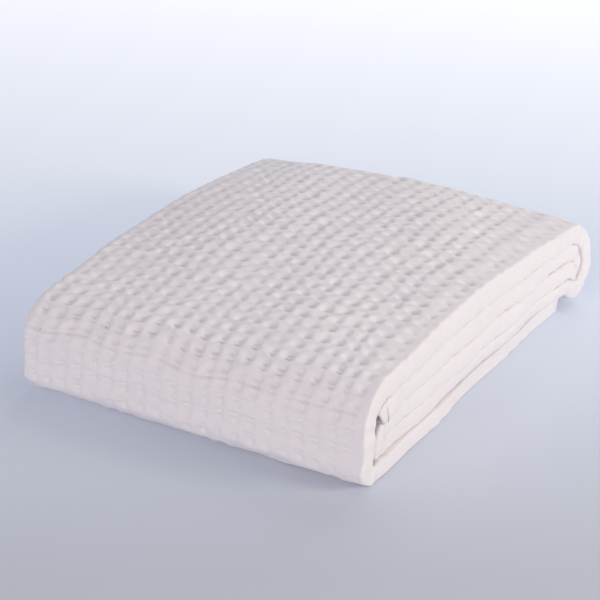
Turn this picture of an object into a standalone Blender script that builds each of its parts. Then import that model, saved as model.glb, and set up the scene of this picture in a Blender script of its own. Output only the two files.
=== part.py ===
"""Folded throw blanket: one cloth of 1.40 x 2.00 m, folded to a thick pile.

The cloth is folded in half twice across its width, which makes a strip of four layers,
0.35 m wide.  The strip is then folded along its length into five plies, so that it lies
like this, seen from the +X end with the front on the left:

    outer front fold   /--- top ply ------------------------ \\
                       |    loose ply ------------------ \\   |   inner back fold,
    inner front fold   |  / middle ply ----------------- /   |   inside the outer one
                       |  \\ lower ply ---------------------- /
                       \\--- bottom ply -------------

+Z is up, -Y is the front, +X is the end where every ply shows one round double fold,
and -X is the end where every ply shows two side hems and the cloth's halfway fold.
The origin is on the floor, under the middle of the pile.
"""

import math

import bmesh
import bpy

# Driving dimensions, in metres
WIDTH = 0.350            # a quarter of the 1.40 m cloth
DEPTH = 0.430            # front fold to back fold
PLY = 0.0172             # one ply of four layers
PLIES = 5
GAP = 0.0005             # clearance between plies that touch
HEM = 0.014              # width of the turned hem
HEM_STEP = 0.002         # how far the second side hem lies behind the first
HEM_GROOVE = 0.003       # depth of the grooves between the layers at -X

# Where the folds are, counted in plies from the front or the back
TOP_CORNER = 2.0 * PLY           # outer radius at the front's upper corner
FOOT_CORNER = 1.3 * PLY          # outer radius at the front's lower corner
FRONT_CUT = 2.2 * PLY            # where straight plies meet the front folds
BACK_CUT = 2.8 * PLY             # where straight plies meet the back folds
INNER_NOSE = 2.05 * PLY          # middle of the round fold inside the front
LOOSE_END = 2.2 * PLY            # free end of the loose ply, behind the front fold
BOTTOM_END = 2.8 * PLY           # free end of the bottom ply, before the back

# How the pile settles, as shares of its loose height
SIDE_TILT = 0.07         # the double folds at +X stand higher than the hems at -X
ARCH = 0.20              # crown along the depth
BACK_DROP = 0.14         # the back is flatter than the front
BACK_DOME = 0.12         # crown along the width, growing to the back
SAG = 1.2 * PLY          # how far the back fold sinks past the bottom ply's end
SAG_RUN = 1.6 * PLY      # the depth over which it sinks

LOOSE_HEIGHT = PLIES * PLY
FRONT = -DEPTH / 2
BACK = DEPTH / 2
STRAIGHT = DEPTH - FRONT_CUT - BACK_CUT
STRAIGHT_STEPS = 8
FLAT_STEPS = 8           # steps across the packet's flat faces
ROUND_STEPS = 8          # steps round the double fold at +X
RUN_STEPS = 3            # steps along a back fold's short straight runs
BACK_STEPS = 14          # steps round a back fold
NOSE_STEPS = 10          # steps round the inner front fold
CORNER_STEPS = 8         # steps round each corner of the front wrap
UPRIGHT_STEPS = 4        # steps down the front wrap's upright face
CLOTH_COLOUR = (0.86, 0.81, 0.79, 1.0)
HEM_COLOUR = (0.83, 0.78, 0.75, 1.0)


def clear_scene():
    for ob in list(bpy.data.objects):
        bpy.data.objects.remove(ob, do_unlink=True)


def new_collection(name):
    collection = bpy.data.collections.new(name)
    bpy.context.scene.collection.children.link(collection)
    return collection


def cloth_material(name, colour):
    material = bpy.data.materials.new(name)
    material.use_nodes = True
    shader = material.node_tree.nodes["Principled BSDF"]
    shader.inputs["Base Color"].default_value = colour
    shader.inputs["Roughness"].default_value = 0.95
    shader.inputs["Metallic"].default_value = 0.0
    return material


def ply_middle(index):
    """Loose height of the middle of a ply, counted up from the floor."""
    return (index + 0.5) * PLY - GAP / 2


def settled(x, y, z):
    """Height of a point once the pile has settled under its own weight.

    The crown grows with the square of the loose height, so that the lower plies stay
    flat.  Past the bottom ply's end the back fold sinks towards the floor.
    """
    u = x / (WIDTH / 2)
    s = min(max((y - FRONT) / DEPTH, 0.0), 1.0)
    level = z / LOOSE_HEIGHT
    rise = SIDE_TILT * u + ARCH * math.sin(math.pi * s) - BACK_DROP * s
    rise += BACK_DOME * s * (2 - s) * (1 - u * u)
    ramp = min(max((y - BACK + BOTTOM_END) / SAG_RUN, 0.0), 1.0)
    ramp = ramp * ramp * (3 - 2 * ramp)
    return z + LOOSE_HEIGHT * rise * level * level - SAG * ramp * (1 - level)


def half_round(cx, ct, radius, start, steps):
    """Half a circle of points, without its two ends, from a start angle in degrees."""
    angles = [math.radians(start + 180 * step / steps) for step in range(1, steps)]
    return [(cx + radius * math.cos(a), ct + radius * math.sin(a)) for a in angles]


def hem_edge(x, t0, t1):
    """The edge of one hemmed layer at -X, with its corners taken off."""
    corner = (t0 - t1) / 4
    return [(x + corner, t0), (x, t0 - corner), (x, t1 + corner), (x + corner, t1)]


def packet_outline():
    """Outline of the four-layer strip: x across it, t through it, +t the hemmed side."""
    half = PLY / 2 - GAP / 2
    layer = half / 2
    right = WIDTH / 2 - half
    left = -WIDTH / 2 + 2 * layer
    xs = [left + (right - left) * step / FLAT_STEPS for step in range(FLAT_STEPS + 1)]
    outline = [(x, -half) for x in xs]
    outline += half_round(right, 0.0, half, -90, ROUND_STEPS)
    outline += [(x, half) for x in reversed(xs)]
    outline += hem_edge(-WIDTH / 2, half, layer)
    outline += [(-WIDTH / 2 + HEM_GROOVE, layer)]
    outline += hem_edge(-WIDTH / 2 + HEM_STEP, layer, 0.0)
    outline += [(-WIDTH / 2 + 2 * HEM_GROOVE, 0.0)]
    outline += half_round(-WIDTH / 2 + layer, -layer, layer, 90, ROUND_STEPS // 2)
    return outline


def packet_face(bm, y, z, hems_up):
    """One face across the strip, standing at depth y with its middle at height z."""
    side = 1 if hems_up else -1
    return bm.faces.new([bm.verts.new((x, y, z + side * t)) for x, t in packet_outline()])


def carry(bm, face, steps, travel=0.0, drop=0.0, middle=(0.0, 0.0), degrees=0.0):
    """Sweep a face along Y by a travel, down by a drop, or round a middle (y, z)."""
    result = bmesh.ops.spin(
        bm, geom=[face, *face.edges, *face.verts], steps=steps,
        cent=(0.0, *middle), axis=(1.0, 0.0, 0.0), angle=math.radians(degrees),
        dvec=(0.0, travel / steps, -drop / steps))
    return next(item for item in result["geom_last"] if isinstance(item, bmesh.types.BMFace))


def finish(name, bm, material, collection):
    """Settle a swept solid and place it in the pile's collection."""
    bmesh.ops.remove_doubles(bm, verts=bm.verts, dist=0.00002)
    bmesh.ops.recalc_face_normals(bm, faces=bm.faces)
    for vertex in bm.verts:
        vertex.co.z = settled(*vertex.co)
    mesh = bpy.data.meshes.new(name)
    bm.to_mesh(mesh)
    bm.free()
    mesh.shade_smooth()
    mesh.set_sharp_from_angle(angle=math.radians(40))
    mesh.materials.append(material)
    ob = bpy.data.objects.new(name, mesh)
    collection.objects.link(ob)
    return ob


def straight_ply(name, index, hems_up, y0, y1, material, collection):
    """A straight ply, or a short end of one, between two depths."""
    bm = bmesh.new()
    face = packet_face(bm, y0 + GAP / 2, ply_middle(index), hems_up)
    steps = max(1, round(STRAIGHT_STEPS * (y1 - y0) / STRAIGHT))
    carry(bm, face, steps, travel=y1 - y0 - GAP)
    return finish(name, bm, material, collection)


def back_fold(name, top, bottom, hems_up, material, collection):
    """A round fold at the back, from the upper of two plies to the lower one."""
    bm = bmesh.new()
    run = BACK_CUT - 2 * PLY - GAP / 2
    level = (ply_middle(top) + ply_middle(bottom)) / 2
    face = packet_face(bm, BACK - BACK_CUT + GAP / 2, ply_middle(top), hems_up)
    face = carry(bm, face, RUN_STEPS, travel=run)
    face = carry(bm, face, BACK_STEPS, middle=(BACK - 2 * PLY, level), degrees=-180)
    carry(bm, face, RUN_STEPS, travel=-run)
    return finish(name, bm, material, collection)


def inner_front_fold(material, collection):
    """The round fold between the middle and the lower ply, inside the front."""
    bm = bmesh.new()
    nose = FRONT + INNER_NOSE
    run = FRONT + FRONT_CUT - nose - GAP / 2
    level = (ply_middle(2) + ply_middle(1)) / 2
    face = packet_face(bm, nose + run, ply_middle(2), True)
    face = carry(bm, face, 1, travel=-run)
    face = carry(bm, face, NOSE_STEPS, middle=(nose, level), degrees=180)
    carry(bm, face, 1, travel=run)
    return finish("inner_front_fold", bm, material, collection)


def outer_front_fold(material, collection):
    """The wrap over the whole front: a round shoulder, an upright face, a round foot."""
    bm = bmesh.new()
    top_run = FRONT_CUT - TOP_CORNER - GAP / 2
    foot_run = FRONT_CUT - FOOT_CORNER - GAP / 2
    face = packet_face(bm, FRONT + FRONT_CUT - GAP / 2, ply_middle(4), True)
    face = carry(bm, face, 1, travel=-top_run)
    shoulder = (FRONT + TOP_CORNER, LOOSE_HEIGHT - GAP / 2 - TOP_CORNER)
    face = carry(bm, face, CORNER_STEPS, middle=shoulder, degrees=90)
    foot = (FRONT + FOOT_CORNER, FOOT_CORNER - GAP / 2)
    face = carry(bm, face, UPRIGHT_STEPS, drop=shoulder[1] - foot[1])
    face = carry(bm, face, CORNER_STEPS, middle=foot, degrees=90)
    carry(bm, face, 1, travel=foot_run)
    return finish("outer_front_fold", bm, material, collection)


def build():
    clear_scene()
    pile = new_collection("folded_throw_blanket")
    cloth = cloth_material("cotton_cloth", CLOTH_COLOUR)
    hem = cloth_material("hem_cloth", HEM_COLOUR)
    y0 = FRONT + FRONT_CUT
    y1 = BACK - BACK_CUT
    loose_end = FRONT + LOOSE_END
    bottom_end = BACK - BOTTOM_END
    straight_ply("bottom_ply", 0, False, y0, bottom_end - HEM, cloth, pile)
    straight_ply("bottom_end_hem", 0, False, bottom_end - HEM, bottom_end, hem, pile)
    straight_ply("lower_ply", 1, False, y0, y1, cloth, pile)
    straight_ply("middle_ply", 2, True, y0, y1, cloth, pile)
    straight_ply("loose_ply", 3, False, loose_end + HEM, y1, cloth, pile)
    straight_ply("loose_end_hem", 3, False, loose_end, loose_end + HEM, hem, pile)
    straight_ply("top_ply", 4, True, y0, y1, cloth, pile)
    inner_front_fold(cloth, pile)
    outer_front_fold(cloth, pile)
    back_fold("inner_back_fold", 3, 2, False, cloth, pile)
    back_fold("outer_back_fold", 4, 1, True, cloth, pile)


build()
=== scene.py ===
"""A folded cotton throw: one cloth, folded in four across and wrapped into five plies."""

import bpy
import numpy as np
from mathutils import Matrix, Vector


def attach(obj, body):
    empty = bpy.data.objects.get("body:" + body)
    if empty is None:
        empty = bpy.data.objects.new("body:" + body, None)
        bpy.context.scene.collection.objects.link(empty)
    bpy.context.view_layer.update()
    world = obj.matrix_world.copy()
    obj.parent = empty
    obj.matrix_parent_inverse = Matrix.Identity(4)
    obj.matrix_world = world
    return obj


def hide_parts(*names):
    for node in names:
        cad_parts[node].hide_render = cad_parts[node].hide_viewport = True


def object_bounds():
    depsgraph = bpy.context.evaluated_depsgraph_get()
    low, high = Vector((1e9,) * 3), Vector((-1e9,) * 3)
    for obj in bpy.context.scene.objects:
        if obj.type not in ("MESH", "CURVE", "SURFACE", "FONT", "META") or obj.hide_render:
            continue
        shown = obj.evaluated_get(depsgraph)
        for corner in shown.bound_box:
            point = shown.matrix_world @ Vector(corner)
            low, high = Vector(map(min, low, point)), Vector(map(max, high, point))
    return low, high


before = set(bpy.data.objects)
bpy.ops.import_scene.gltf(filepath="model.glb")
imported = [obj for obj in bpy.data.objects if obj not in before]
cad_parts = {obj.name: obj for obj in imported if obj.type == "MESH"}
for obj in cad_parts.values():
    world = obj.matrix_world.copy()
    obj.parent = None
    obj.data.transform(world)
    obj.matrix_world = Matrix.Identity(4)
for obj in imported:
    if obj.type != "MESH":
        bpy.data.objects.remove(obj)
cad_low, cad_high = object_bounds()

# ---------------------------------------------------------------------------
# Studio: a level sheet of blue-grey paper with painted light, a glow that grows towards the back
# in place of the studio light falling across it; a warm soft box on the right that lights the
# folded end, one high behind, and a wide one in front.
# ---------------------------------------------------------------------------
CAMERA_AZIMUTH = np.radians(31.05)
CAMERA_ELEVATION = np.radians(27.2)
CAMERA_DISTANCE = 2.39
CAMERA_AIM_SIDE = -0.0163        # where it aims, measured to the right of the pile's middle
CAMERA_AIM_HEIGHT = 0.0419       # and above the floor
CAMERA_LENS = 156.0
PAPER = (0.56, 0.585, 0.66)
# Painted light: the paper's emission glow, from its start near the front to its fullest at the
# back.
GLOW_START = -0.4                # where the glow starts, measured past the pile's middle
GLOW_END = 0.9                   # where it glows most
GLOW_MIDDLE = (0.20, 0.225, 0.27)
GLOW_MIDDLE_AT = 0.40            # how far from the start to the end the middle glow lies
GLOW_FULL = (0.53, 0.53, 0.53)
PAPER_REACH = 6.0                # from the pile to each edge of the paper
AIR = (0.84, 0.88, 1.0)          # light from all round
AIR_STRENGTH = 0.42


def place_camera():
    """Stand the camera at its distance along its line of sight, which is a little to one
    side of the pile's middle."""
    az, el = CAMERA_AZIMUTH, CAMERA_ELEVATION
    away = Vector((np.sin(az) * np.cos(el), -np.cos(az) * np.cos(el), np.sin(el)))
    right = Vector((np.cos(az), np.sin(az), 0.0))
    up = away.cross(right)
    data = bpy.data.cameras.new("studio_camera")
    data.lens = CAMERA_LENS
    camera = bpy.data.objects.new("studio_camera", data)
    bpy.context.scene.collection.objects.link(camera)
    spot = Vector((0.0, 0.0, CAMERA_AIM_HEIGHT)) + away * CAMERA_DISTANCE + right * CAMERA_AIM_SIDE
    camera.matrix_world = Matrix.Translation(spot) @ Matrix((right, up, away)).transposed().to_4x4()
    bpy.context.scene.camera = camera


def soft_box(name, place, target, size, power, colour):
    """A square area light at a place, turned to face a target."""
    data = bpy.data.lights.new(name, "AREA")
    data.shape = "SQUARE"
    data.size = size
    data.energy = power
    data.color = colour
    light = bpy.data.objects.new(name, data)
    bpy.context.scene.collection.objects.link(light)
    light.location = place
    light.rotation_euler = (Vector(target) - Vector(place)).to_track_quat("-Z", "Y").to_euler()


def paper_material():
    """Blue-grey paper with painted light: a glow that grows towards the back, standing in for the
    studio light.
    """
    material = bpy.data.materials.new("backdrop_paper")
    material.use_nodes = True
    nodes, links = material.node_tree.nodes, material.node_tree.links
    shader = nodes["Principled BSDF"]
    shader.inputs["Base Color"].default_value = (*PAPER, 1.0)
    shader.inputs["Roughness"].default_value = 0.9
    shader.inputs["Specular IOR Level"].default_value = 0.2
    shader.inputs["Emission Strength"].default_value = 1.0
    place = nodes.new("ShaderNodeTexCoord")
    turn = nodes.new("ShaderNodeMapping")
    turn.inputs["Rotation"].default_value = (0.0, 0.0, -CAMERA_AZIMUTH)
    split = nodes.new("ShaderNodeSeparateXYZ")
    fade = nodes.new("ShaderNodeMapRange")
    fade.inputs["From Min"].default_value = GLOW_START
    fade.inputs["From Max"].default_value = GLOW_END
    ramp = nodes.new("ShaderNodeValToRGB")
    ramp.color_ramp.elements[0].color = (0.0, 0.0, 0.0, 1.0)
    ramp.color_ramp.elements[1].color = (*GLOW_FULL, 1.0)
    middle = ramp.color_ramp.elements.new(GLOW_MIDDLE_AT)
    middle.color = (*GLOW_MIDDLE, 1.0)
    links.new(place.outputs["Object"], turn.inputs["Vector"])
    links.new(turn.outputs["Vector"], split.inputs["Vector"])
    links.new(split.outputs["Y"], fade.inputs["Value"])
    links.new(fade.outputs["Result"], ramp.inputs["Fac"])
    # Painted light: the glow ramp feeds the paper's emission.
    links.new(ramp.outputs["Color"], shader.inputs["Emission Color"])
    return material


def paper_sweep():
    """A flat square sheet of paper under the pile, level with the pile's base."""
    mesh = bpy.data.meshes.new("backdrop")
    turns = [(-1, -1), (1, -1), (1, 1), (-1, 1)]
    corners = [(x * PAPER_REACH, y * PAPER_REACH, 0) for x, y in turns]
    mesh.from_pydata(corners, [], [(0, 1, 2, 3)])
    mesh.materials.append(paper_material())
    sweep = bpy.data.objects.new("backdrop", mesh)
    bpy.context.scene.collection.objects.link(sweep)


place_camera()
paper_sweep()
soft_box("key_right", (2.3, 0.35, 0.85), (0.05, 0.0, 0.04), 0.8, 29.5, (1.0, 0.95, 0.79))
soft_box("overhead", (-0.1, 1.7, 1.6), (0.0, 0.05, 0.05), 1.6, 14.5, (1.0, 0.97, 0.95))
soft_box("fill_front", (0.4, -2.3, 0.7), (0.0, 0.0, 0.05), 2.0, 28.5, (1.0, 0.92, 0.86))
world = bpy.data.worlds.new("studio_air")
world.use_nodes = True
world.node_tree.nodes["Background"].inputs["Color"].default_value = (*AIR, 1.0)
world.node_tree.nodes["Background"].inputs["Strength"].default_value = AIR_STRENGTH
bpy.context.scene.world = world
bpy.context.scene.view_settings.view_transform = "Standard"

# ---------------------------------------------------------------------------
# The strip: the cotton folded in half twice across its width, which makes four layers, and
# then folded along its length into five plies. Its middle line runs through the plies and
# their folds, and every layer is a fixed distance from it.
# ---------------------------------------------------------------------------
WIDTH = cad_high[0] - cad_low[0]
DEPTH = 0.430                        # front fold to back fold
PLY = 0.0172                         # one ply of four layers
PLY_CLEARANCE = 0.0002               # left free at each face of a ply
LOOSE_HEIGHT = 5 * PLY
HALF_PLY = PLY / 2 - PLY_CLEARANCE
FRONT = -DEPTH / 2
BACK = DEPTH / 2
TOP_CORNER = 2.0 * PLY               # outer radius at the front's upper corner
FOOT_CORNER = 1.3 * PLY              # outer radius at the front's lower corner
INNER_NOSE = FRONT + 2.05 * PLY      # middle of the round fold inside the front
BACK_ROUND = BACK - 2.0 * PLY        # middle of the round folds at the back
LOOSE_END = FRONT + 2.2 * PLY        # where the loose ply starts to droop at its free end
BOTTOM_END = BACK - 2.8 * PLY        # free end of the bottom ply
SIDE_TILT = 0.07                     # the double folds at +X stand higher than the hems
ARCH = 0.20                          # crown along the depth
BACK_DROP = 0.14                     # the back is flatter than the front
BACK_DOME = 0.12                     # crown across the width, growing to the back
SAG = 1.2 * PLY                      # how far the back fold sinks past the bottom ply's end
SAG_RUN = 1.6 * PLY                  # the depth over which it sinks
CURL = 1.3 * PLY                     # radius of the droop over the inner fold
CURL_TURN = 34                       # its turn in degrees


def ply_level(index):
    return (index + 0.5) * PLY


def straight(y0, z0, y1, z1):
    """A straight stretch of the strip: start, unit direction and length."""
    length = np.hypot(y1 - y0, z1 - z0)
    return ("straight", y0, z0, (y1 - y0) / length, (z1 - z0) / length, length)


def bend(y, z, radius, start, turn):
    """A round stretch: its length is measured on the outer face of the strip."""
    start, turn = np.radians(start), np.radians(turn)
    return ("bend", y, z, radius, start, turn, (radius + HALF_PLY) * abs(turn))


ROUTE = [
    bend(LOOSE_END, ply_level(3) - CURL, CURL, 90 + CURL_TURN, -CURL_TURN),
    straight(LOOSE_END, ply_level(3), BACK_ROUND, ply_level(3)),
    bend(BACK_ROUND, 3 * PLY, 0.5 * PLY, 90, -180),
    straight(BACK_ROUND, ply_level(2), INNER_NOSE, ply_level(2)),
    bend(INNER_NOSE, 2 * PLY, 0.5 * PLY, 90, 180),
    straight(INNER_NOSE, ply_level(1), BACK_ROUND, ply_level(1)),
    bend(BACK_ROUND, 3 * PLY, 1.5 * PLY, -90, 180),
    straight(BACK_ROUND, ply_level(4), FRONT + TOP_CORNER, ply_level(4)),
    bend(FRONT + TOP_CORNER, LOOSE_HEIGHT - TOP_CORNER, TOP_CORNER - PLY / 2, 90, 90),
    straight(FRONT + PLY / 2, LOOSE_HEIGHT - TOP_CORNER, FRONT + PLY / 2, FOOT_CORNER),
    bend(FRONT + FOOT_CORNER, FOOT_CORNER, FOOT_CORNER - PLY / 2, 180, 90),
    straight(FRONT + FOOT_CORNER, ply_level(0), BOTTOM_END, ply_level(0)),
]
MARKS = np.concatenate([[0.0], np.cumsum([stretch[-1] for stretch in ROUTE])])
STRIP_LENGTH = MARKS[-1]
(DROOP, LOOSE, BACK_IN, MIDDLE, NOSE, LOWER,
 BACK_OUT, TOP, SHOULDER, UPRIGHT, FOOT, BOTTOM) = range(12)


def on_route(s):
    """Depth y, height z and outward normal (ny, nz) of the strip's middle at length s.

    Along a straight stretch the point moves with its direction; round a bend it turns
    about the bend's middle. The normal is to the right of the way the strip runs."""
    y, z, ny, nz = (np.zeros_like(s) for _ in range(4))
    for index, stretch in enumerate(ROUTE):
        last = index == len(ROUTE) - 1
        here = (s >= MARKS[index]) & ((s < MARKS[index + 1]) | last)
        run = s[here] - MARKS[index]
        if stretch[0] == "straight":
            _, y0, z0, dy, dz, _ = stretch
            y[here], z[here] = y0 + dy * run, z0 + dz * run
            ny[here], nz[here] = dz, -dy
        else:
            _, cy, cz, radius, start, turn, length = stretch
            angle = start + turn * run / length
            way = np.sign(turn)
            y[here], z[here] = cy + radius * np.cos(angle), cz + radius * np.sin(angle)
            ny[here], nz[here] = way * np.cos(angle), way * np.sin(angle)
    return y, z, ny, nz


def settled(x, y, z):
    """Height after the pile has settled: loose height, plus a crown that grows with the
    square of the loose height, less a sag where the back fold hangs past the bottom ply."""
    u = x / (WIDTH / 2)
    s = np.clip((y - FRONT) / DEPTH, 0, 1)
    level = z / LOOSE_HEIGHT
    rise = SIDE_TILT * u + ARCH * np.sin(np.pi * s) - BACK_DROP * s
    rise = rise + BACK_DOME * s * (2 - s) * (1 - u * u)
    ramp = np.clip((y - BOTTOM_END) / SAG_RUN, 0, 1)
    ramp = ramp * ramp * (3 - 2 * ramp)
    return z + LOOSE_HEIGHT * rise * level * level - SAG * ramp * (1 - level)


# Across the strip: the hemmed edge turned under, layer A on the outside, the double fold
# at +X into layer B, the halfway fold at -X into C, the tight fold inside the double fold
# into D, and the second hem turned back under A.
SIDE_HEM = 0.014                    # width of the turned hem
HEM_STEP = 0.002                    # how far the second hem lies behind the first
FOLD_STEP = 0.002                   # how far the tight fold lies inside the double fold
SLIT = 0.0003                       # half the gap between layers C and D
EDGE_ROUND = HALF_PLY / 4
RIGHT = WIDTH / 2 - HALF_PLY
LEFT = -WIDTH / 2 + HALF_PLY / 2
INNER_RIGHT = RIGHT - FOLD_STEP
HEM_LEFT = -WIDTH / 2 + EDGE_ROUND
INNER_HEM_LEFT = HEM_LEFT + HEM_STEP
FOLD_BLUFF = 0.45                   # 1 is a half circle, less is squarer
FOLD_SWELL = 0.20                   # how much the double fold swells against its neighbours


def run(x0, x1, t):
    """A flat stretch of the section from x0 to x1 at t through the ply."""
    return ("run", x0, t, np.sign(x1 - x0), abs(x1 - x0))


def fold(x, low, high, start, turn):
    """A half round of the section between two heights through the ply."""
    radius = (high - low) / 2
    return ("round", x, (low + high) / 2, radius, start, turn, np.pi * radius)


ACROSS = [
    run(HEM_LEFT + SIDE_HEM, HEM_LEFT, HALF_PLY - 2 * EDGE_ROUND),
    fold(HEM_LEFT, HALF_PLY - 2 * EDGE_ROUND, HALF_PLY, -90, -180),
    run(HEM_LEFT, RIGHT, HALF_PLY),
    fold(RIGHT, -HALF_PLY, HALF_PLY, 90, -180),
    run(RIGHT, LEFT, -HALF_PLY),
    fold(LEFT, -HALF_PLY, -SLIT, -90, -180),
    run(LEFT, INNER_RIGHT, -SLIT),
    fold(INNER_RIGHT, -SLIT, SLIT, -90, 180),
    run(INNER_RIGHT, INNER_HEM_LEFT, SLIT),
    fold(INNER_HEM_LEFT, SLIT, SLIT + 2 * EDGE_ROUND, -90, -180),
    run(INNER_HEM_LEFT, INNER_HEM_LEFT + SIDE_HEM, SLIT + 2 * EDGE_ROUND),
]
SEAMS = np.concatenate([[0.0], np.cumsum([stretch[-1] for stretch in ACROSS])])
CLOTH_WIDTH = SEAMS[-1]
(HEM_UNDER, HEM_EDGE, LAYER_A, DOUBLE_FOLD, LAYER_B, HALFWAY_FOLD,
 LAYER_C, TIGHT_FOLD, LAYER_D, INNER_EDGE, INNER_HEM) = range(11)


def across_strip(q):
    """Place (x, t) and normal (nx, nt) on the strip's section at cloth width q.

    x runs across the pile and t through the ply, outwards. Runs are straight, and rounds
    turn about their middle, the double fold on a blunter oval than a circle; the normal
    always points out of the cloth's face side."""
    x, t, nx, nt = (np.zeros_like(q) for _ in range(4))
    for index, stretch in enumerate(ACROSS):
        last = index == len(ACROSS) - 1
        here = (q >= SEAMS[index]) & ((q < SEAMS[index + 1]) | last)
        along = q[here] - SEAMS[index]
        if stretch[0] == "run":
            _, x0, t0, way, _ = stretch
            x[here], t[here] = x0 + way * along, t0
            nx[here], nt[here] = 0.0, way
        else:
            _, cx, ct, radius, start, turn, length = stretch
            angle = np.radians(start + turn * along / length)
            way = -np.sign(turn)
            c, s = np.cos(angle), np.sin(angle)
            bluff, swell = (FOLD_BLUFF, 1 + FOLD_SWELL * c) if index == DOUBLE_FOLD else (1, 1)
            x[here] = cx + radius * np.sign(c) * np.abs(c) ** bluff
            t[here] = ct + radius * np.sign(s) * np.abs(s) ** bluff * swell
            nx[here], nt[here] = way * c, way * s
    return x, t, nx, nt


rng = np.random.default_rng(7)      # the same creases and dimples every time


def waves(scale, count=7):
    """A smooth random field of two lengths: a sum of sine waves of about one scale."""
    angles = rng.uniform(0, 2 * np.pi, count)
    sizes = 2 * np.pi / (scale * rng.uniform(0.7, 1.5, count))
    phases = rng.uniform(0, 2 * np.pi, count)

    def field(a, b):
        total = np.zeros(np.broadcast(a, b).shape)
        for angle, size, phase in zip(angles, sizes, phases):
            total += np.sin(size * (np.cos(angle) * a + np.sin(angle) * b) + phase)
        return total / np.sqrt(count / 2)
    return field


def rising(value, start, reach):
    """0 up to the start, 1 from the start plus the reach, and an S-shaped rise between."""
    share = np.clip((value - start) / reach, 0, 1)
    return share * share * (3 - 2 * share)


def falling(value, end, reach):
    """1 until the reach before the end, then an S-shaped fall to 0 at the end."""
    return rising(-value, -end, reach)


slide_across = waves(0.11)
slide_along = waves(0.10)
lumps = waves(0.16)
end_waves = waves(0.09)
SLIDE = 0.0014              # how far the rows of dimples wander from straight lines
SLIDE_MARGIN = 0.03         # they keep their place within this of the edge and the fold
SKEW = 0.045                # how far the cloth was laid askew, so the columns leave the fold
SKEW_REACH = 0.40           # the length of cloth over which it drifts, up to the shoulder
SKEW_PAST = 0.02            # and how far past the shoulder
SKEW_FROM_HEM = 0.12        # the drift grows over this much width from the hemmed edge
SKEW_FROM_FOLD = 0.035      # and fades over this much before the double fold
END_POWER = 6               # how closely the unevenness keeps to both ends of the plies
END_SHIFT = 0.0010          # how unevenly the folded edges line up
END_SEPARATE = 0.4          # keeps the two ends' unevenness apart
END_SET_BACK = 0.0055       # how far the lowest plies' ends lie back, away from the front
END_SET_BACK_FROM = 0.13    # the depth at which that starts
END_SET_BACK_REACH = 0.06   # and over which it grows
FOOT_SET_BACK = 0.0048      # how far the bottom of the whole right end leans back
FOOT_HEIGHT = 2.6 * PLY     # the height up to which it leans
LOW_HEIGHT = 1.6 * PLY      # the height at which the lowest plies end
CORE_SET_BACK = 0.0020      # how far the plies inside the wrap lie back
CORE_IN = 0.02              # the length of cloth over which that starts, at the loose end
CORE_OUT = 0.06             # and over which it ends, at the back
LUMP = 0.0005               # how uneven the top of the pile is
UPRIGHT_DEPTH = 2.5 * PLY   # how deep the front's swelling reaches into the pile
FRONT_BULGE = 0.003         # how far the wrapped front swells
FOOT_BULGE = 0.0032         # how far its lower corner is pushed forward
FOOT_BULGE_HEIGHT = 2 * PLY  # the height at which that has faded away
LOWEST = 0.0002             # nothing lies lower than this


def cloth_point(q, s, n):
    """Where the cloth lies at width q, length s and height n above its face.

    The strip's section is carried along the route: middle line plus t along the route's
    normal, plus n along the section's normal. The ends of the plies shift in and out, the
    right end leans back at its foot, the front bulges, and the whole pile settles."""
    hem_edge, fold_edge = SEAMS[LAYER_A], SEAMS[DOUBLE_FOLD]
    free = rising(q, hem_edge, SLIDE_MARGIN) * falling(q, fold_edge, SLIDE_MARGIN)
    drift = SKEW * np.clip(s - MARKS[SHOULDER], -SKEW_REACH, SKEW_PAST)
    drift = drift * rising(q, hem_edge, SKEW_FROM_HEM) * falling(q, fold_edge, SKEW_FROM_FOLD)
    slid_q = q + SLIDE * slide_across(q, s) * free + drift
    slid_s = np.clip(s + SLIDE * slide_along(q, s) * free, 0, STRIP_LENGTH)
    x, t, nx, nt = across_strip(slid_q)
    y, z, ny, nz = on_route(slid_s)
    x = x + n * nx
    t = t + n * nt
    end = np.clip(np.abs(x) / (WIDTH / 2), 0, 1) ** END_POWER
    x = x + END_SHIFT * end * end_waves(slid_s, np.sign(x) * END_SEPARATE)
    y = y + t * ny
    z = z + t * nz
    inside = rising(s, MARKS[LOOSE], CORE_IN) * falling(s, MARKS[BACK_OUT], CORE_OUT)
    low = rising(y, FRONT + END_SET_BACK_FROM, END_SET_BACK_REACH) * falling(z, LOW_HEIGHT, PLY)
    foot = falling(z, FOOT_HEIGHT, FOOT_HEIGHT)
    set_back = CORE_SET_BACK * inside + END_SET_BACK * low + FOOT_SET_BACK * foot
    x = x - set_back * end * (x > 0)
    level = np.clip(z / LOOSE_HEIGHT, 0, 1)
    height = settled(x, y, z) + LUMP * lumps(x, y) * level
    upright = np.clip(1 - (y - FRONT) / UPRIGHT_DEPTH, 0, 1)
    y = y - FRONT_BULGE * np.sin(np.pi * level) * upright
    y = y - FOOT_BULGE * falling(z, FOOT_BULGE_HEIGHT, PLY) * upright
    return np.stack([x, y, np.maximum(height, LOWEST)], axis=-1)


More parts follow.
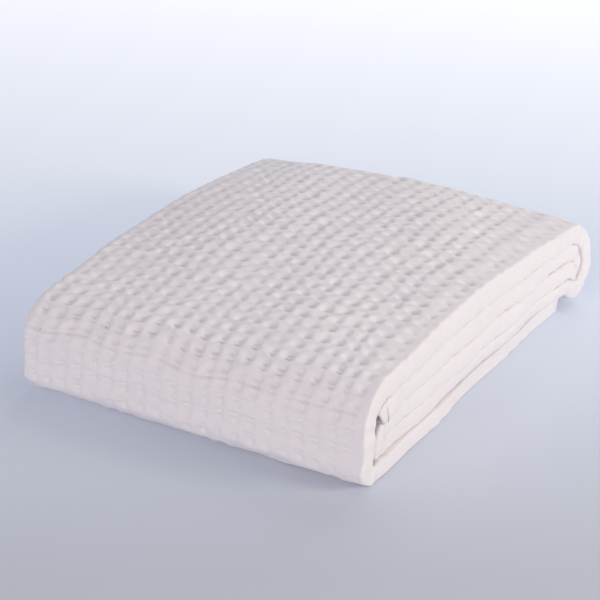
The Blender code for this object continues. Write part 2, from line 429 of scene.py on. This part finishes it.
# ---------------------------------------------------------------------------
# Wrap cloth: the stretch of the throw that shows. It comes out of the pile along the lower
# ply, goes round the back, over the top, down the front and back under as the bottom ply.
# The weave gathers it into square cells, each with a dimple; they flatten at the double fold.
# ---------------------------------------------------------------------------
CELLS_ACROSS = 21
CELL_ACROSS = (SEAMS[DOUBLE_FOLD] - SEAMS[LAYER_A]) / CELLS_ACROSS
CELL_ALONG = 0.0146
CELL_ROWS = 150
GRID_HEIGHT = 0.0009     # how far the raised grid stands above the ply's plain face
DIMPLE = 0.0026          # how deep a dimple is below the grid round it
LEAN_ACROSS = 0.34       # how much steeper a dimple's right wall is than its left
LEAN_ALONG = 0.44        # how much steeper its near wall is, on top
LEAN_TURN = 1.6          # how far that turns over down the front
DEEPER = 0.25            # how much deeper the dimples are from the shoulder on
SHORT_BEFORE = 0.03      # how far before the shoulder they start to shorten
SHORT_RUN = 0.04         # the length of cloth over which they do
CELL_DEPTHS = (0.55, 1.35)   # the least and most of a dimple's depth, as shares of it
CELL_SHIFT = 0.16        # how far a dimple's middle may lie from its place, in half cells
HEM_FADE = 0.006         # width over which the relief grows from the hemmed edge
HEM_FADE_BEFORE = 0.001  # it starts this far before the edge
FOLD_FADE = 0.014        # width over which it fades at the double fold
FOLD_FADE_PAST = 0.002   # it ends this far past the start of the fold
FOLD_SHOW = 0.10         # the share of it left on the double fold
ROW_CREASE = 0.0029      # depth of the short crease between two cells on the front
ROW_CREASE_WIDTH = 0.0014
LONG_CREASES = {3: 0.0017, 4: 0.0012}    # depth of the long creases, by row past the shoulder
LONG_CREASE_WIDTH = 0.0022
CREASE_WANDER = 40       # how often a long crease deepens and fades, across the cloth
CREASE_HELD = 0.6        # the middle share of its depth that it keeps
PAST_SHOULDER = 0.02     # how far past, or before, the start of the shoulder a change lies
CHANGE_RUN = 0.03        # the length of cloth over which such a change happens
FOOT_PAST = 0.01         # how far past the start of the foot the creases go
WRINKLE = 0.00035
WRINKLE_ACROSS = 0.6     # below 1 the wrinkles are longer across the cloth
WRINKLE_ALONG = 1.5      # above 1 they are shorter along it
PLUSH = 0.00012          # the finest unevenness of the face
cell_depth = rng.uniform(*CELL_DEPTHS, (CELL_ROWS, CELLS_ACROSS))
cell_middle = rng.uniform(-CELL_SHIFT, CELL_SHIFT, (CELL_ROWS, CELLS_ACROSS))
fine_waves = waves(0.024, 9)
plush = waves(0.009, 9)


def face_relief(q, s):
    """Height of the cloth's face above the ply's plain face, at width q and length s.

    The face is a raised grid with a dimple in each cell: a squared cosine both ways, leaned
    so that its right and near walls are steep. Depth and middle vary from cell to cell. From
    the shoulder down the dimples get shorter and deeper, their lean turns over, and a short
    crease parts each cell from the next; two rows of creases join into long uneven ones. The
    relief fades at the hemmed edge and at the double fold, where soft wrinkles are left."""
    col = (q - SEAMS[LAYER_A]) / CELL_ACROSS
    row = s / CELL_ALONG
    i = np.clip(np.floor(row), 0, CELL_ROWS - 1).astype(int)
    j = np.clip(np.floor(col), 0, CELLS_ACROSS - 1).astype(int)
    a = 2 * (col - np.floor(col)) - 1
    b = 2 * (row - np.floor(row)) - 1
    shoulder = MARKS[SHOULDER]
    turned = rising(s, shoulder + PAST_SHOULDER, CHANGE_RUN)
    shortened = rising(s, shoulder - SHORT_BEFORE, SHORT_RUN)
    a = a - (LEAN_ACROSS + cell_middle[i, j]) * (1 - a * a)
    b = b - LEAN_ALONG * (1 - LEAN_TURN * turned) * (1 - b * b)
    across_dip = np.cos(np.pi / 2 * a) ** 2
    along_dip = (np.cos(np.pi / 2 * b) ** 2) ** (1 + shortened)
    depth = DIMPLE * cell_depth[i, j] * (1 + DEEPER * shortened)
    rise = GRID_HEIGHT - depth * across_dip * along_dip
    near_hem = rising(q, SEAMS[LAYER_A] - HEM_FADE_BEFORE, HEM_FADE)
    near_fold = falling(q, SEAMS[DOUBLE_FOLD] + FOLD_FADE_PAST, FOLD_FADE)
    shown = near_hem * (FOLD_SHOW + (1 - FOLD_SHOW) * near_fold)
    wrinkle = WRINKLE * fine_waves(q * WRINKLE_ACROSS, s * WRINKLE_ALONG) + PLUSH * plush(q, s)
    down_front = rising(s, shoulder - PAST_SHOULDER, CHANGE_RUN)
    down_front = down_front * falling(s, MARKS[FOOT] + FOOT_PAST, CHANGE_RUN)
    from_row = np.abs(row - np.round(row)) * CELL_ALONG
    crease = ROW_CREASE * np.exp(-(from_row / ROW_CREASE_WIDTH) ** 2)
    crease = crease * across_dip * cell_depth[i, j]
    for order, deepest in LONG_CREASES.items():
        line = np.floor(shoulder / CELL_ALONG + order) * CELL_ALONG
        swing = np.sin(fine_waves(q, line) + CREASE_WANDER * q)
        held = CREASE_HELD + (1 - CREASE_HELD) * swing
        crease = crease + deepest * held * np.exp(-((s - line) / LONG_CREASE_WIDTH) ** 2)
    return rise * shown + wrinkle - crease * down_front * near_fold


# Shares of a cell at which the mesh has its lines: closer together where the walls are steep.
ACROSS_LINES = np.array([0.0, 0.13, 0.27, 0.41, 0.54, 0.66, 0.78, 0.89])
ALONG_LINES = np.array([0.0, 0.07, 0.15, 0.27, 0.42, 0.57, 0.71, 0.83, 0.92])
LEAST_GAP = 1e-5          # a line this close to the first or the last is left out


def cell_lines(first, last, pitch, start, shares):
    """Grid lines from first to last, at the same shares of every cell."""
    cells = np.arange(np.floor((first - start) / pitch), np.ceil((last - start) / pitch))
    lines = start + ((cells[:, None] + shares) * pitch).ravel()
    inside = lines[(lines > first + LEAST_GAP) & (lines < last - LEAST_GAP)]
    return np.concatenate([[first], inside, [last]])


def even_lines(first, last, step):
    """Evenly spaced grid lines from first to last, no further apart than a step."""
    return np.linspace(first, last, max(2, int(np.ceil((last - first) / step)) + 1))


def join_lines(*groups):
    """One rising list of grid lines from several that meet end to end."""
    return np.unique(np.round(np.concatenate(groups), 7))


def sheet_mesh(name, points, threads, material):
    """A mesh from a grid of points, with the cloth's own width and length as its UV map."""
    rows, cols = points.shape[:2]
    index = np.arange(rows * cols, dtype=np.int32).reshape(rows, cols)
    quads = np.stack([index[:-1, :-1], index[1:, :-1], index[1:, 1:], index[:-1, 1:]], -1)
    quads = quads.reshape(-1, 4)
    mesh = bpy.data.meshes.new(name)
    mesh.vertices.add(rows * cols)
    mesh.vertices.foreach_set("co", points.reshape(-1).astype(np.float32))
    mesh.loops.add(quads.size)
    mesh.loops.foreach_set("vertex_index", quads.reshape(-1))
    mesh.polygons.add(len(quads))
    mesh.polygons.foreach_set("loop_start", np.arange(0, quads.size, 4, dtype=np.int32))
    mesh.update(calc_edges=True)
    uv = mesh.uv_layers.new(name="threads")
    flat = threads.reshape(-1, 2)[quads.reshape(-1)]
    uv.data.foreach_set("uv", flat.reshape(-1).astype(np.float32))
    mesh.polygons.foreach_set("use_smooth", np.ones(len(quads), bool))
    mesh.materials.append(material)
    mesh.validate()
    piece = bpy.data.objects.new(name, mesh)
    bpy.context.scene.collection.objects.link(piece)
    return piece


def cloth_piece(name, q_lines, s_lines, material):
    """The cloth over a grid of widths and lengths, raised by its face relief."""
    q, s = np.meshgrid(q_lines, s_lines)
    points = cloth_point(q, s, face_relief(q, s))
    return sheet_mesh(name, points, np.stack([q, s], -1), material)


THREADS = 230.0           # scale of the crossing threads
NAP = 900.0               # scale of the down on the cloth
PATCHES = 38.0            # scale of the patches of the second shade


def thread_ribs(nodes, direction):
    """Fine ribs of one set of threads, slightly uneven."""
    ribs = nodes.new("ShaderNodeTexWave")
    ribs.bands_direction = direction
    ribs.inputs["Scale"].default_value = THREADS
    ribs.inputs["Distortion"].default_value = 1.2
    ribs.inputs["Detail Scale"].default_value = 3.0
    return ribs


def cotton_material(name, colour, shade):
    """Off-white cotton: crossing threads raised as fine ribs, a downy nap over them, and
    two close shades in soft patches."""
    material = bpy.data.materials.new(name)
    material.use_nodes = True
    nodes, links = material.node_tree.nodes, material.node_tree.links
    shader = nodes["Principled BSDF"]
    shader.inputs["Roughness"].default_value = 0.92
    shader.inputs["Specular IOR Level"].default_value = 0.25
    shader.inputs["Sheen Weight"].default_value = 0.20
    shader.inputs["Sheen Roughness"].default_value = 0.6
    threads = nodes.new("ShaderNodeUVMap")
    threads.uv_map = "threads"
    place = nodes.new("ShaderNodeTexCoord")
    patches = nodes.new("ShaderNodeTexNoise")
    patches.inputs["Scale"].default_value = PATCHES
    patches.inputs["Detail"].default_value = 5.0
    tone = nodes.new("ShaderNodeMix")
    tone.data_type = "RGBA"
    tone.inputs["A"].default_value = (*colour, 1.0)
    tone.inputs["B"].default_value = (*shade, 1.0)
    warp = thread_ribs(nodes, "X")
    weft = thread_ribs(nodes, "Y")
    crossing = nodes.new("ShaderNodeMath")
    crossing.operation = "MAXIMUM"
    nap = nodes.new("ShaderNodeTexNoise")
    nap.inputs["Scale"].default_value = NAP
    nap.inputs["Detail"].default_value = 4.0
    relief = nodes.new("ShaderNodeMath")
    relief.operation = "ADD"
    bump = nodes.new("ShaderNodeBump")
    bump.inputs["Strength"].default_value = 0.42
    bump.inputs["Distance"].default_value = 0.0003
    links.new(place.outputs["Object"], patches.inputs["Vector"])
    links.new(patches.outputs["Fac"], tone.inputs["Factor"])
    links.new(tone.outputs["Result"], shader.inputs["Base Color"])
    links.new(threads.outputs["UV"], warp.inputs["Vector"])
    links.new(threads.outputs["UV"], weft.inputs["Vector"])
    links.new(place.outputs["Object"], nap.inputs["Vector"])
    links.new(warp.outputs["Fac"], crossing.inputs[0])
    links.new(weft.outputs["Fac"], crossing.inputs[1])
    links.new(crossing.outputs["Value"], relief.inputs[0])
    links.new(nap.outputs["Fac"], relief.inputs[1])
    links.new(relief.outputs["Value"], bump.inputs["Height"])
    links.new(bump.outputs["Normal"], shader.inputs["Normal"])
    return material


cotton = cotton_material("cotton_cloth", (0.85, 0.80, 0.82), (0.82, 0.765, 0.79))
WRAP_START = MARKS[BACK_OUT] - 0.05  # the piece starts inside the pile, before the back fold
WRAP_FLAT = MARKS[BOTTOM] + 0.02     # past here the mesh is coarser, as it lies underneath
TUCK = 0.03               # how far the piece reaches round the double fold into layer B
END_HEM = 0.014           # length of the turned hem at each end of the strip
CLOTH_START = 0.010       # the cloth starts and ends this far inside its end hems
HEM_GRID = 0.0045         # distance between the mesh's lines on a turned side hem
EDGE_GRID = 0.0012        # round a hem's edge
FOLD_GRID = 0.0022        # round a fold
TUCK_GRID = 0.006
RUN_GRID = 0.004          # along the strip, where the face hardly shows
FLAT_GRID = 0.008         # along the strip, underneath

across_wrap = join_lines(
    even_lines(0.0, SEAMS[HEM_EDGE], HEM_GRID),
    even_lines(SEAMS[HEM_EDGE], SEAMS[LAYER_A], EDGE_GRID),
    cell_lines(SEAMS[LAYER_A], SEAMS[DOUBLE_FOLD], CELL_ACROSS, SEAMS[LAYER_A], ACROSS_LINES),
    even_lines(SEAMS[DOUBLE_FOLD], SEAMS[LAYER_B], FOLD_GRID),
    even_lines(SEAMS[LAYER_B], SEAMS[LAYER_B] + TUCK, TUCK_GRID),
)
along_wrap = join_lines(
    even_lines(WRAP_START, MARKS[BACK_OUT], RUN_GRID),
    cell_lines(MARKS[BACK_OUT], WRAP_FLAT, CELL_ALONG, 0.0, ALONG_LINES),
    even_lines(WRAP_FLAT, STRIP_LENGTH - CLOTH_START, FLAT_GRID),
)
wrap_cloth = cloth_piece("wrap_cloth", across_wrap, along_wrap, cotton)
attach(wrap_cloth, "root")
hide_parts("top_ply", "outer_front_fold", "outer_back_fold", "bottom_ply")

# ---------------------------------------------------------------------------
# Core cloth: the start of the same throw, folded inside the wrap as the loose, middle and
# lower plies, with a round fold at the back and one inside the front.
# ---------------------------------------------------------------------------
NEAR_END = 0.03           # width at each end of a ply where its face may show
NEAR_HEM_GRID = 0.003
NEAR_FOLD_GRID = 0.0025
HIDDEN_GRID = 0.012
PLY_GRID = 0.0035         # along the strip
across_core = join_lines(
    even_lines(0.0, SEAMS[HEM_EDGE], HEM_GRID),
    even_lines(SEAMS[HEM_EDGE], SEAMS[LAYER_A], EDGE_GRID),
    even_lines(SEAMS[LAYER_A], SEAMS[LAYER_A] + NEAR_END, NEAR_HEM_GRID),
    even_lines(SEAMS[LAYER_A] + NEAR_END, SEAMS[DOUBLE_FOLD] - NEAR_END, HIDDEN_GRID),
    even_lines(SEAMS[DOUBLE_FOLD] - NEAR_END, SEAMS[DOUBLE_FOLD], NEAR_FOLD_GRID),
    even_lines(SEAMS[DOUBLE_FOLD], SEAMS[LAYER_B], FOLD_GRID),
    even_lines(SEAMS[LAYER_B], SEAMS[LAYER_B] + TUCK, TUCK_GRID),
)
along_core = join_lines(
    even_lines(CLOTH_START, MARKS[BACK_IN], PLY_GRID),
    even_lines(MARKS[BACK_IN], MARKS[MIDDLE], FOLD_GRID),
    even_lines(MARKS[MIDDLE], MARKS[NOSE], PLY_GRID),
    even_lines(MARKS[NOSE], MARKS[LOWER], FOLD_GRID),
    even_lines(MARKS[LOWER], WRAP_START, PLY_GRID),
)
core_cloth = cloth_piece("core_cloth", across_core, along_core, cotton)
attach(core_cloth, "root")
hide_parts("loose_ply", "middle_ply", "lower_ply", "inner_back_fold",
            "inner_front_fold")

# ---------------------------------------------------------------------------
# Inner layers: the other half of the throw's width, folded back between the two faces of
# every ply. Only its halfway fold and its hem show, at the left end of the pile.
# ---------------------------------------------------------------------------
LEFT_REACH = 0.02         # width next to the halfway fold that may show
LEFT_GRID = 0.004
HALFWAY_GRID = 0.0013     # round the halfway fold
TIGHT_GRID = 0.0005       # round the tight fold
INSIDE_GRID = 0.03
SOFT_FOLD = 0.0004        # how uneven these layers are
across_inner = join_lines(
    even_lines(SEAMS[LAYER_B] + TUCK, SEAMS[HALFWAY_FOLD] - LEFT_REACH, INSIDE_GRID),
    even_lines(SEAMS[HALFWAY_FOLD] - LEFT_REACH, SEAMS[HALFWAY_FOLD], LEFT_GRID),
    even_lines(SEAMS[HALFWAY_FOLD], SEAMS[LAYER_C], HALFWAY_GRID),
    even_lines(SEAMS[LAYER_C], SEAMS[TIGHT_FOLD], INSIDE_GRID),
    even_lines(SEAMS[TIGHT_FOLD], SEAMS[LAYER_D], TIGHT_GRID),
    even_lines(SEAMS[LAYER_D], SEAMS[INNER_EDGE], INSIDE_GRID),
    even_lines(SEAMS[INNER_EDGE], SEAMS[INNER_HEM], EDGE_GRID),
    even_lines(SEAMS[INNER_HEM], CLOTH_WIDTH, HEM_GRID),
)
along_inner = join_lines(
    along_core,
    even_lines(WRAP_START, STRIP_LENGTH - CLOTH_START, RUN_GRID),
)
inner_q, inner_s = np.meshgrid(across_inner, along_inner)
soft_folds = waves(0.03, 9)
inner_points = cloth_point(inner_q, inner_s, SOFT_FOLD * soft_folds(inner_q, inner_s))
inner_cloth = sheet_mesh("inner_cloth", inner_points, np.stack([inner_q, inner_s], -1), cotton)
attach(inner_cloth, "root")

# ---------------------------------------------------------------------------
# End hems: both ends of the strip, turned under and flat. One lies inside the pile and the
# other shows under the back fold.
# ---------------------------------------------------------------------------
HEM_THICK = HALF_PLY / 2 - PLY_CLEARANCE
HEM_LAP = 0.001           # how far a hem reaches past its own length over the cloth
HEM_SIDES = 16            # steps round a hem's outline
HEM_TIP = 0.6             # the share of a hem's length left at its two closed tips
HEM_SQUARE_ALONG = 0.5    # 1 is a round outline, less is squarer
HEM_SQUARE_THROUGH = 0.8


def end_hem(name, first, last, material):
    """A flat rounded hem, carried across the whole cloth width.

    Its outline is a squared-off oval, END_HEM long and one layer thick, drawn at every
    width of the section; the outline closes to a line at both ends."""
    angles = np.linspace(0, 2 * np.pi, HEM_SIDES + 1)
    c, s = np.cos(angles), np.sin(angles)
    outline_s = np.sign(c) * np.abs(c) ** HEM_SQUARE_ALONG
    outline_n = np.sign(s) * np.abs(s) ** HEM_SQUARE_THROUGH
    widths = join_lines(across_core, across_inner)
    taper = np.ones(len(widths))
    taper[[0, -1]] = 0.0
    taper = taper[:, None]
    q = np.repeat(widths[:, None], HEM_SIDES + 1, 1)
    reach = (last - first) / 2 * (HEM_TIP + (1 - HEM_TIP) * taper)
    length = (first + last) / 2 + reach * outline_s[None]
    height = HEM_THICK / 2 * (outline_n[None] * taper - 1)
    points = cloth_point(q, np.clip(length, 0, STRIP_LENGTH), height)
    return sheet_mesh(name, points[:, ::-1], np.stack([q, length], -1)[:, ::-1], material)


hem_cotton = cotton_material("hem_cloth", (0.83, 0.78, 0.80), (0.80, 0.745, 0.77))
hem_start = STRIP_LENGTH - END_HEM - HEM_LAP
loose_hem = end_hem("loose_hem", 0.0, END_HEM + HEM_LAP, hem_cotton)
bottom_hem = end_hem("bottom_hem", hem_start, STRIP_LENGTH, hem_cotton)
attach(loose_hem, "root")
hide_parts("loose_end_hem")
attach(bottom_hem, "root")
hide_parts("bottom_end_hem")
